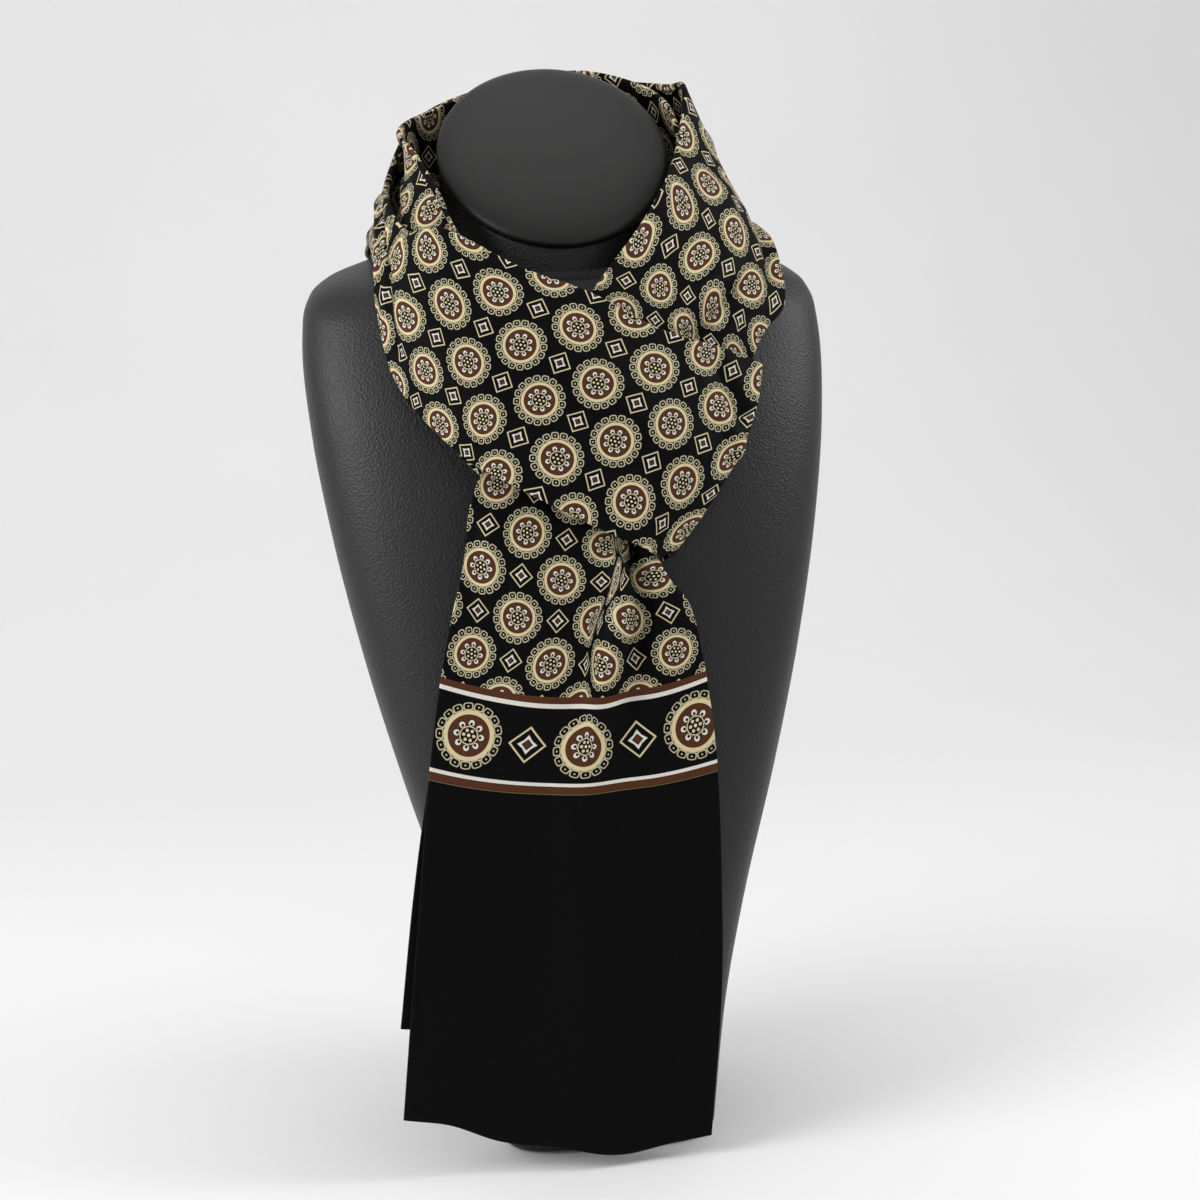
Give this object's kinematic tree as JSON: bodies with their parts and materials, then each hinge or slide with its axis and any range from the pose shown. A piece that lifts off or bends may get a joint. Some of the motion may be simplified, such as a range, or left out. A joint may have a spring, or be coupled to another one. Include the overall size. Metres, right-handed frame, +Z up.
{
  "type": "printed scarf on a limbless display form",
  "caption": "Long printed scarf, folded in half and pulled through its own loop round the neck of a limbless black display form, with both ends hanging down the chest.",
  "frame": {"origin": "middle of the flat underside of the display form's foot", "axes": "+Z up along the form, -Y out of the chest towards the viewer, +X to the viewer's right"},
  "size_m": [0.2594, 0.2081, 0.5284],
  "materials": {
    "leatherette": "black pebbled leatherette, soft sheen",
    "cap_leatherette": "smooth black leatherette, softly shining",
    "printed_twill": "near-black twill printed with cream, white and brown medallions"
  },
  "bodies": {
    "root": {"display_form": "leatherette", "form_cap": "cap_leatherette", "tail_front": "printed_twill", "collar_right": "printed_twill", "collar_back": "printed_twill", "loop_front": "printed_twill", "loop_rear": "printed_twill", "inner_left": "printed_twill", "inner_back": "printed_twill", "inner_right": "printed_twill", "tail_rear": "printed_twill"}
  },
  "joints": []
}
